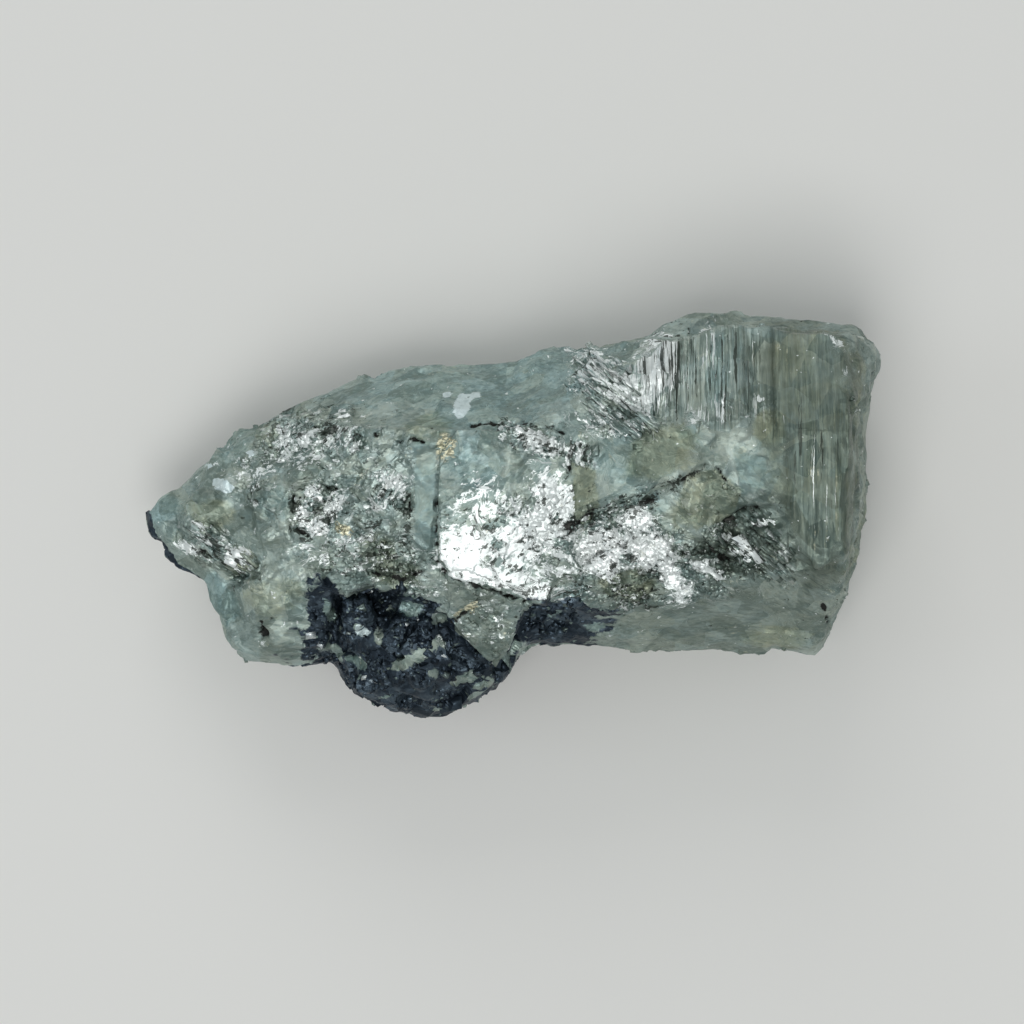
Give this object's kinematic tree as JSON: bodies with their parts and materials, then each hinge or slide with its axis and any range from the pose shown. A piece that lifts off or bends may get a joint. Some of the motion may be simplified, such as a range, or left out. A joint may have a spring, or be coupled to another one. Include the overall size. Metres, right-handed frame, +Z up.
{
  "type": "pyrite specimen",
  "caption": "Rough hand specimen of massive pyrite: a long stone with broken crystal faces, a striated end and a rounded lump of dark sulphide, resting on a flat break.",
  "frame": {"origin": "centre of the bounding box's bottom face, on the surface that the stone rests on", "axes": "+X along the stone from its pointed end to its striated end, +Y from the dark lump towards the long back slope, +Z up"},
  "size_m": [0.08, 0.0442, 0.029],
  "materials": {
    "pyrite": "satin"
  },
  "bodies": {
    "root": {"pyrite": "pyrite"}
  },
  "joints": []
}
